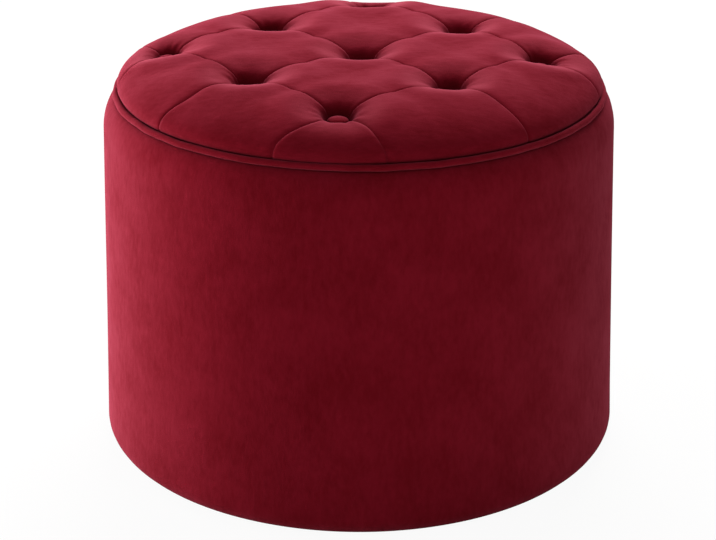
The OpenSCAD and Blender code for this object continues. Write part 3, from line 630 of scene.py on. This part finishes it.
def puffAt(v, w, moved, p, q):
    # bilinear between the knots of the net, fading to nothing at a fold
    edge = v["widestRadius"] / v["pitch"]
    ring = np.clip((np.hypot(p, q) - w["innerShare"]) / (edge - w["innerShare"]), 0, 1) * (w["rings"] - 1)
    spoke = np.arctan2(q, p) / (2 * math.pi) % 1 * w["spokes"]
    i, j = np.minimum(ring.astype(int), w["rings"] - 2), spoke.astype(int)
    s, t = (ring - i)[..., None], (spoke - j)[..., None]
    j, following = j % w["spokes"], (j + 1) % w["spokes"]
    puff = mix(mix(moved[i, j], moved[i, following], t), mix(moved[i + 1, j], moved[i + 1, following], t), s)
    fold = np.minimum(np.abs(toFold(p)), np.abs(toFold(q))) * v["pitch"]
    return puff * smoothStep(fold, 0, w["foldFree"])[..., None]


clothMoved = simulateTop(cushionValues, clothValues)


def makeCushion(v, w, moved):
    # a square grid between the outer buttons, rings from its sides to the widest line, then the underside
    n, wedge, rings = v["cellSteps"], v["wedgeSteps"], v["edgeRings"]
    edge = v["widestRadius"] / v["pitch"]
    t = np.arange(n) / n
    cell = t - v["foldCrowd"] * np.sin(2 * math.pi * t) / (2 * math.pi)  # lines crowd beside the folds
    lines = np.concatenate([cell - 1, cell, [1]])
    side = 2 * n
    q, p = np.meshgrid(lines, lines, indexing="ij")
    inner = (cushionSurface(v, p, q) + puffAt(v, w, moved, p, q)).reshape(-1, 3)
    # columns that leave the square's four sides, and fan out from its corners
    corners = np.array([[-1, -1], [1, -1], [1, 1], [-1, 1]])
    startIndex, starts, ends = [], [], []
    for k in range(4):
        corner, following = corners[k], corners[(k + 1) % 4]
        along = (following - corner) / 2
        away = np.array([along[1], -along[0]])
        first = math.atan2(1, math.sqrt(edge * edge - 1)) - math.pi / 4
        f = np.arange(wedge) / wedge
        f = first * (1 - 2 * (f - v["cornerCrowd"] * np.sin(2 * math.pi * f) / (2 * math.pi)))
        a, b = edge * np.cos(f) / math.sqrt(2), edge * np.sin(f) / math.sqrt(2)
        fan = np.stack([corner[0] * a - corner[1] * b, corner[1] * a + corner[0] * b], -1)
        aside = lines[:side, None]
        place = aside * along + away
        run = away * np.sqrt(edge * edge - aside ** 2) + along * aside
        m = np.arange(side)
        index = [m, side + m * (side + 1), (side - m) + side * (side + 1), (side - m) * (side + 1)][k]
        startIndex.append(np.concatenate([np.full(wedge, index[0]), index]))
        starts.append(np.concatenate([np.repeat(corner[None, :], wedge, 0), place]))
        ends.append(np.concatenate([fan, run]))
    startIndex, starts, ends = (np.concatenate(x) for x in (startIndex, starts, ends))
    s = np.arange(1, rings + 1) / rings
    s = mix(s, s ** v["ringPower"], v["ringCrowd"])[:, None, None]  # rings crowd beside the square's own folds
    s = np.where(s > 0.5, 0.5 + 0.5 * np.sin((s - 0.5) * math.pi), s)  # and again at the widest line
    place = mix(starts[None], ends[None], s)
    outer = cushionSurface(v, place[..., 0], place[..., 1]) + puffAt(v, w, moved, place[..., 0], place[..., 1])
    last = outer[-1]
    # below the widest line: in to the piping's seam, then up inside to the board and to the middle
    flat = np.hypot(last[:, 0], last[:, 1])
    unit = last[:, :2] / flat[:, None]
    lower = []
    for share in (0.25, 0.5, 0.75, 1.0):
        r = mix(flat, v["seamRadius"] + (flat - flat.max()) * v["seamEven"], 1 - math.cos(share * math.pi / 2))
        z = mix(last[:, 2], v["seamHeight"], share)
        lower.append(np.column_stack([unit * r[:, None], z]))
    for r, z in ((v["boardRadius"], v["seamHeight"]), (v["boardRadius"] - 1, v["boardHeight"]),
                 (v["boardInner"], v["boardHeight"])):
        lower.append(np.column_stack([unit * r, np.full(len(unit), z)]))
    rows = np.concatenate([outer, np.array(lower)])
    count = len(startIndex)
    points = np.concatenate([inner, rows.reshape(-1, 3), [[0, 0, v["boardHeight"]]]])
    base, centre = len(inner), len(points) - 1
    quads = [gridQuads(side + 1, side + 1),
             gridQuads(len(rows), count, closedColumns=True, first=base)[:, ::-1]]
    c = np.arange(count)
    a, b, d, e = startIndex, np.roll(startIndex, -1), base + (c + 1) % count, base + c
    strip = np.stack([a, e, d, b], -1)
    quads.append(strip[a != b])
    triangles = [np.stack([a, e, d], -1)[a == b]]
    end = base + (len(rows) - 1) * count
    triangles.append(np.stack([end + (c + 1) % count, end + c, np.full(count, centre)], -1))
    piece = makePiece("lidCushion", points, np.concatenate(quads), np.concatenate(triangles), lidVelvet, "lid")
    # how far each point lies in a hollow and on the bend at its edge, for the velvet's painted shade and highlight
    middle, border = hollowsAt(v, p, q), hollowsAt(v, place[..., 0], place[..., 1])
    for name, part in (("hollowShade", 1), ("bend", 3)):
        share = np.zeros(len(points), np.float32)
        share[:base] = middle[part].ravel()
        share[base:base + outer.shape[0] * count] = border[part].ravel()
        piece.data.attributes.new(name, "FLOAT", "POINT").data.foreach_set("value", share)
    return piece


lidCushion = makeCushion(cushionValues, clothValues, clothMoved)
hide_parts("tufted_top", "lid_foam")
print("cushion made")


# Velvet-covered buttons in the dimples

buttonValues = {
    "radius": 10.0, "height": 6.0,
    "underShare": 0.3, "tuck": 0.55, "underHeight": 0.33,  # share of the rows, radius and height of the tucked edge
    "domePower": 0.9,
    "gather": 0.3, "gathers": 13, "gatherWidth": 0.16,  # pleats where the velvet is drawn under
    "rows": 22, "turns": 64,
}


def makeButtons(v, c):
    # a quarter turn out and up for the tucked edge, then a dome: cosine across, sine to domePower up
    seats = seatAt(c, buttonPlaces[:, 0], buttonPlaces[:, 1])
    angle = circle(v["turns"])
    t = np.linspace(0, 1, v["rows"])[:, None]
    under = np.minimum(t / v["underShare"], 1) * math.pi / 2
    over = np.clip((t - v["underShare"]) / (1 - v["underShare"]), 0, 1) * math.pi / 2
    radius = v["radius"] * np.where(t < v["underShare"], mix(v["tuck"], 1, np.sin(under)), np.cos(over))
    height = v["height"] * np.where(t < v["underShare"], v["underHeight"] * (1 - np.cos(under)),
                                    mix(v["underHeight"], 1, np.sin(over) ** v["domePower"]))
    drawn = np.exp(-((t - v["underShare"]) / v["gatherWidth"]) ** 2)
    pleat = v["gather"] * np.sin(v["gathers"] * angle) * drawn
    dome = turned(radius + pleat, angle, height + 0 * angle)[:-1]
    count = v["turns"]
    one = np.concatenate([dome.reshape(-1, 3), [[0, 0, v["height"]], [0, 0, 0]]])
    quads = gridQuads(len(dome), count, closedColumns=True)
    k = np.arange(count)
    top, bottom = len(one) - 2, len(one) - 1
    last = (len(dome) - 1) * count
    triangles = np.concatenate([np.stack([last + k, last + (k + 1) % count, np.full(count, top)], -1),
                                np.stack([(k + 1) % count, k, np.full(count, bottom)], -1)])
    points = (one[None] + seats[:, None, :]).reshape(-1, 3)
    shift = (np.arange(len(seats)) * len(one))[:, None, None]
    return makePiece("lidButtons", points, (quads[None] + shift).reshape(-1, 4),
                     (triangles[None] + shift).reshape(-1, 3), lidVelvet, "lid")


lidButtons = makeButtons(buttonValues, cushionValues)
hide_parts("buttons")
print("buttons made")


# Piping sewn into the lid's edge seam, over its cord

pipingValues = {
    "ringRadius": 247.1, "height": 375.55, "radius": 3.3,
    "flangeInner": 234.9, "flangeLow": 375.0, "flangeHigh": 376.6,  # flange between the velvets, sewn flat
    "flangeFoot": 243.0, "flangeHead": 242.0,  # where its two faces leave the cord
    "wave": 0.3, "lift": 0.12,  # mm, out and up, where the cord doesn't run true
    "sectionSteps": 30, "turns": 640,
}


def makePiping(v):
    # section turned round the axis: a circle round the cord from where the flange leaves it, then along the
    # flange's underside and back
    angle = circle(v["turns"])
    half = (v["flangeHigh"] - v["flangeLow"]) / 2
    middle = (v["flangeHigh"] + v["flangeLow"]) / 2 - v["height"]
    start = math.asin((middle + half) / v["radius"])
    stop = math.asin((middle - half) / v["radius"])
    t = np.linspace(math.pi - start, -math.pi - stop, v["sectionSteps"])[:, None]
    wave = v["wave"] * ripples(angle, 0, seed=31, count=8, angleWaves=(5, 40), acrossWaves=(0, 0))
    lift = v["lift"] * ripples(angle, 0, seed=32, count=8, angleWaves=(8, 60), acrossWaves=(0, 0))
    cover = turned(v["ringRadius"] + wave + v["radius"] * np.cos(t), angle,
                   v["height"] + lift + v["radius"] * np.sin(t))
    flange = np.array([[v["flangeFoot"], v["flangeLow"]], [v["flangeInner"], v["flangeLow"]],
                       [v["flangeInner"], v["flangeHigh"]], [v["flangeHead"], v["flangeHigh"]]])
    points = np.concatenate([cover, turned(flange[:, :1], angle, flange[:, 1:])])
    quads = gridQuads(*points.shape[:2], True, True)[:, ::-1]
    return makePiece("lidPiping", points.reshape(-1, 3), quads, None, lidVelvet, "lid")


lidPiping = makePiping(pipingValues)
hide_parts("piping_cover", "piping_cord")
print("piping made")


# Velvet under the lid: turned in from the edge seam, over the board's edge, with small gathers where the circle
# takes up its fullness

borderValues = {
    "edgeRadius": 236.1, "hemRadius": 190.5, "low": 372.0, "seamHeight": 375.0, "bend": 1.5, "velvet": 1.2,
    "gather": 0.4, "gatherCap": 1.5,  # mm that the gathers lift the velvet, and the share at which they are cut off
    "flatSteps": 24, "bendSteps": 6, "insideSteps": 8, "turns": 720,
}


def makeBorder(v):
    # section turned round the axis: level from the hem to the board's edge, a quarter round, up, and back inside
    angle = circle(v["turns"])
    edge, inside, high = v["edgeRadius"], v["edgeRadius"] - v["velvet"], v["low"] + v["velvet"]
    outer = np.concatenate([
        line((v["hemRadius"], v["low"]), (edge - v["bend"] - 1, v["low"]), v["flatSteps"]),
        arc((edge - v["bend"], v["low"] + v["bend"]), v["bend"], v["bend"], -90, 0, v["bendSteps"]),
        line((edge, v["seamHeight"]), (inside, v["seamHeight"]), 2),
    ])
    inner = line((inside, high), (v["hemRadius"], high), v["insideSteps"])
    radius = outer[:, :1] + 0 * angle
    # gathers lift the velvet by its smaller waves, most at the hem
    full = 1 - smoothStep(radius, v["hemRadius"], edge - 2)
    gathers = ripples(angle, radius / 1000, seed=41, count=10, angleWaves=(70, 150), acrossWaves=(-20, 20))
    lift = v["gather"] * full * np.clip(gathers, 0, v["gatherCap"])
    points = np.concatenate([turned(radius, angle, outer[:, 1:] + lift),
                             turned(inner[:, :1], angle, inner[:, 1:])])
    quads = gridQuads(*points.shape[:2], True, True)
    return makePiece("lidBorder", points.reshape(-1, 3), quads, None, lidVelvet, "lid")


lidBorder = makeBorder(borderValues)
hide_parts("lid_border")
print("lid border made")


# Thin pieces: the linings of the well, the cloth under the foot and the cloth under the lid

def makeDisc(name, radius, v, lower, upper, material, body):
    # a round sheet of rings and turns between the heights low and high; lower and upper give how far its two faces
    # are moved, from arrays of radius and angle
    turns = v["turns"]
    angle = circle(turns)
    r = radius * (np.arange(1, v["rings"] + 1) / v["rings"])[:, None] + 0 * angle
    bottom = turned(r, angle, v["low"] + lower(r, angle))
    top = turned(r, angle, v["high"] + upper(r, angle))[::-1]
    grid = np.concatenate([bottom, top])
    centres = np.array([[0, 0, bottom[0, :, 2].mean()], [0, 0, top[-1, :, 2].mean()]])
    k = np.arange(turns)
    following = (k + 1) % turns
    count, last = len(grid) * turns, (len(grid) - 1) * turns
    triangles = np.concatenate([np.stack([following, k, np.full(turns, count)], -1),
                                np.stack([last + k, last + following, np.full(turns, count + 1)], -1)])
    quads = gridQuads(len(grid), turns, closedColumns=True)
    points = np.concatenate([grid.reshape(-1, 3), centres])
    return makePiece(name, points, quads, triangles, material, body)


def level(r, angle):
    # a face that isn't moved
    return 0 * r * angle


liningValues = {
    "top": 354.6, "bottom": 14.0, "outerInset": 25.6, "card": 1.5,
    "wave": 0.35, "waveCap": 2.5, "edgeFade": 25.0,  # mm that the card bows, most in the middle of its height
    "lap": 24.0, "lapStep": 0.6, "lapRadius": 240.0,  # the card's ends lap at the back
    "outerSteps": 4, "innerSteps": 46, "turns": 480,
}


def makeWellLining(v, d):
    # cloth-covered card round the wall, as straight as the wall outside, bowed by broad waves inside
    shoulderZ = d["rimHeight"] - d["shoulderDrop"]
    angle = circle(v["turns"])
    outerZ = line(v["bottom"], v["top"], v["outerSteps"])[:, None]
    innerZ = line(v["top"], v["bottom"], v["innerSteps"])[:, None]

    def outside(z):
        flare = d["footSpread"] * (shoulderZ - z) / (shoulderZ - d["footHeight"])
        return d["shoulderRadius"] + flare - v["outerInset"]

    past = fromBack(angle) * v["lapRadius"]
    lap = v["lapStep"] * band(past, (-1, 1), (v["lap"] - 1, v["lap"] + 5))
    waves = ripples(angle, innerZ / 1000, seed=51, count=9, angleWaves=(2, 9), acrossWaves=(-12, 12))
    bow = v["wave"] * np.clip(1 + waves, 0, v["waveCap"])
    bow = bow * band(innerZ, (v["bottom"], v["bottom"] + v["edgeFade"]), (v["top"] - v["edgeFade"], v["top"]))
    grid = np.concatenate([turned(outside(outerZ) + 0 * angle, angle, outerZ),
                           turned(outside(innerZ) - v["card"] - lap - bow, angle, innerZ)])
    quads = gridQuads(*grid.shape[:2], True, True)
    return makePiece("wellLining", grid.reshape(-1, 3), quads, None, liningCloth, "drum", sharp=60)


wellLining = makeWellLining(liningValues, drumValues)
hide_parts("side_lining")


floorValues = {"radius": 244.4, "low": 14.0, "high": 15.5, "wave": 0.3, "waveBand": ((20, 70), (200, 240)),
               "rings": 36, "turns": 180}


def floorWave(r, angle):
    # the card of the well's floor bows by broad waves, but not in its middle and at its edge
    v = floorValues
    waves = ripples(angle, r / 100, seed=52, count=8, angleWaves=(0, 5), acrossWaves=(1, 6))
    return v["wave"] * waves * band(r, *v["waveBand"])


wellFloor = makeDisc("wellFloor", floorValues["radius"], floorValues, level, floorWave, liningCloth,
                     "drum")
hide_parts("floor_lining")


footValues = {
    "low": 3.0, "high": 3.8,
    "sag": 0.7, "sagBand": (205, 246),  # mm that the cloth hangs between its staples
    "tuck": 0.25, "tucks": 24, "tuckBand": (150, 200), "tuckRadius": 250.0,  # small tucks beside the staples
    "glidePlace": 144.5, "glideReach": 28,  # the glides hold it up
    "rings": 40, "turns": 240,
}


def footWave(r, angle):
    # the cloth sags but for its edge and the glides, and rises and falls by a squared cosine near its staples
    v = footValues
    x, y = np.abs(r * np.cos(angle)), np.abs(r * np.sin(angle))
    free = 1 - np.exp(-((x - v["glidePlace"]) ** 2 + (y - v["glidePlace"]) ** 2) / v["glideReach"] ** 2)
    sag = v["sag"] * (1 - smoothStep(r, *v["sagBand"])) * free
    tuck = v["tuck"] * free * smoothStep(r, *v["tuckBand"]) * np.cos(v["tucks"] * angle) ** 2
    return -(sag + tuck * (r < v["tuckRadius"]))


footCloth = makeDisc("footCloth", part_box("dust_cover")[1][0] / mm, footValues, footWave, level, dustCloth,
                     "drum")
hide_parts("dust_cover")


lidLiningValues = {
    "low": 371.2, "high": 372.0,
    "sag": 0.8, "sagBand": (120, 193),
    "tuck": 0.2, "tucks": 12, "tuckTurn": 0.3, "tuckBand": (60, 150),
    "rings": 36, "turns": 240,
}


def lidLiningWave(r, angle):
    # the cloth sags but for its edge, a little more by a cosine between its staples
    v = lidLiningValues
    inside = 1 - smoothStep(r, *v["sagBand"])
    tuck = v["tuck"] * smoothStep(r, *v["tuckBand"]) * inside * (1 + np.cos(v["tucks"] * angle + v["tuckTurn"]))
    return -(v["sag"] * inside + tuck)


lidLining = makeDisc("lidLining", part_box("lid_lining")[1][0] / mm, lidLiningValues, lidLiningWave, level, dustCloth,
                     "lid")
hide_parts("lid_lining")
print("linings made")


# Twines that draw the buttons down: a loop of two-strand cord through each eye and round its washer

twineValues = {
    "radius": 0.8, "bend": 1.7, "low": 376.2, "eyeDrop": 3.7,
    "strand": 0.12, "twists": 9,  # share of the radius by which the two strands show, and turns of them in a loop
    "legSteps": 26, "bendSteps": 9, "section": 10,
}


def makeTwines(v, c):
    # a circle carried along a loop in the YZ plane, its radius swelling twice round the section, as two strands do
    # that turn about each other
    seats = seatAt(c, buttonPlaces[:, 0], buttonPlaces[:, 1])
    turn = circle(v["section"])
    points, quads, first = [], [], 0
    for seat in seats:
        length = seat[2] - v["eyeDrop"] - v["low"]
        path = np.concatenate([
            line((v["bend"], 0), (v["bend"], length), v["legSteps"])[:-1],
            arc((0, length), v["bend"], v["bend"], 0, 180, v["bendSteps"])[:-1],
            line((-v["bend"], length), (-v["bend"], 0), v["legSteps"])[:-1],
            arc((0, 0), v["bend"], v["bend"], 180, 360, v["bendSteps"])[:-1],
        ])
        ahead = np.roll(path, -1, 0) - np.roll(path, 1, 0)
        ahead = ahead / np.hypot(ahead[:, 0], ahead[:, 1])[:, None]
        run = (np.arange(len(path)) / len(path))[:, None]
        swell = np.cos(2 * (turn - 2 * math.pi * v["twists"] * run))
        radius = v["radius"] * (1 - v["strand"] + v["strand"] * swell)
        out, side = radius * np.cos(turn), radius * np.sin(turn)
        tube = np.stack([side, path[:, :1] + ahead[:, 1:] * out, path[:, 1:] - ahead[:, :1] * out], -1)
        points.append((tube + [seat[0], seat[1], v["low"]]).reshape(-1, 3))
        quads.append(gridQuads(len(path), v["section"], True, True, first))
        first += len(points[-1])
    return makePiece("lidTwines", np.concatenate(points), np.concatenate(quads), None, twineCotton, "lid")


lidTwines = makeTwines(twineValues, cushionValues)
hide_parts("tufting_twines")
print("twines made")


# Floor, lights and background

stageValues = {
    "floorColour": "#f2f0ee", "floorShadow": 0.06, "floorHalf": 14.0,  # half the floor's width in metres
    "world": 0.28,
}
lampValues = {  # place, what it is aimed at, width and height in metres, and power in watts
    "left softbox": ((-2.3, 0.5, 0.38), (0, 0, 0.25), (0.8, 0.35), 60),
    "rear left softbox": ((-2.0, 1.4, 1.2), (0, 0, 0.25), (1.0, 1.8), 24),
    "rear softbox": ((0.35, 2.1, 1.6), (0, 0, 0.35), (1.8, 0.8), 60),
    "high rear softbox": ((0.1, 1.6, 2.1), (0, 0, 0.35), (1.6, 1.2), 32),
    "low front fill": ((-0.5, -2.9, 0.35), (0, 0, 0.2), (1.6, 0.5), 5),
}


def makeFloor(v):
    # a plain pale floor; the camera sees it as white with only a share of its shadow
    mesh = bpy.data.meshes.new("floor")
    half = v["floorHalf"]
    mesh.from_pydata([(-half, -half, 0), (half, -half, 0), (half, half, 0), (-half, half, 0)], [], [(0, 1, 2, 3)])
    floor = bpy.data.objects.new("floor", mesh)
    bpy.context.scene.collection.objects.link(floor)
    material, tree = newMaterial("pale floor")
    diffuse = addNode(tree, "ShaderNodeBsdfDiffuse", {"Color": linear(v["floorColour"])})
    path = addNode(tree, "ShaderNodeLightPath")
    white = addNode(tree, "ShaderNodeMath", {0: path.outputs["Is Camera Ray"], 1: 1 - v["floorShadow"]},
                    operation="MULTIPLY")
    light = addNode(tree, "ShaderNodeEmission", {"Strength": 1.0})
    mixed = addNode(tree, "ShaderNodeMixShader", {0: white.outputs[0], 1: diffuse.outputs[0], 2: light.outputs[0]})
    addNode(tree, "ShaderNodeOutputMaterial", {"Surface": mixed.outputs[0]})
    mesh.materials.append(material)


def makeWorld(v):
    # an even pale studio, which the camera and polished metal see as white
    world = bpy.data.worlds.new("studio")
    bpy.context.scene.world = world
    world.use_nodes = True
    tree = world.node_tree
    tree.nodes.clear()
    path = addNode(tree, "ShaderNodeLightPath")
    direct = addNode(tree, "ShaderNodeMath", {
        0: path.outputs["Is Camera Ray"], 1: path.outputs["Is Glossy Ray"]}, operation="MAXIMUM")
    seen = addNode(tree, "ShaderNodeMath", {0: direct.outputs[0], 1: path.outputs["Is Transmission Ray"]},
                   operation="MAXIMUM")
    strength = addNode(tree, "ShaderNodeMix", {0: seen.outputs[0], 2: v["world"], 3: 1.0})
    background = addNode(tree, "ShaderNodeBackground", {
        "Color": linear("#ffffff"), "Strength": strength.outputs[0]})
    addNode(tree, "ShaderNodeOutputWorld", {"Surface": background.outputs[0]})


def makeLamp(name, place, aim, size, power):
    # a softbox whose face looks from place to aim
    data = bpy.data.lights.new(name, "AREA")
    data.shape = "RECTANGLE"
    data.size, data.size_y = size
    data.energy = power
    lamp = bpy.data.objects.new(name, data)
    lamp.location = place
    direction = np.array(aim) - np.array(place)
    lamp.rotation_euler = (math.acos(-direction[2] / np.linalg.norm(direction)), 0,
                           math.atan2(-direction[0], direction[1]))
    bpy.context.scene.collection.objects.link(lamp)


makeFloor(stageValues)
makeWorld(stageValues)
for name, values in lampValues.items():
    makeLamp(name, *values)
bpy.context.scene.view_settings.view_transform = "Standard"
print("stage set")
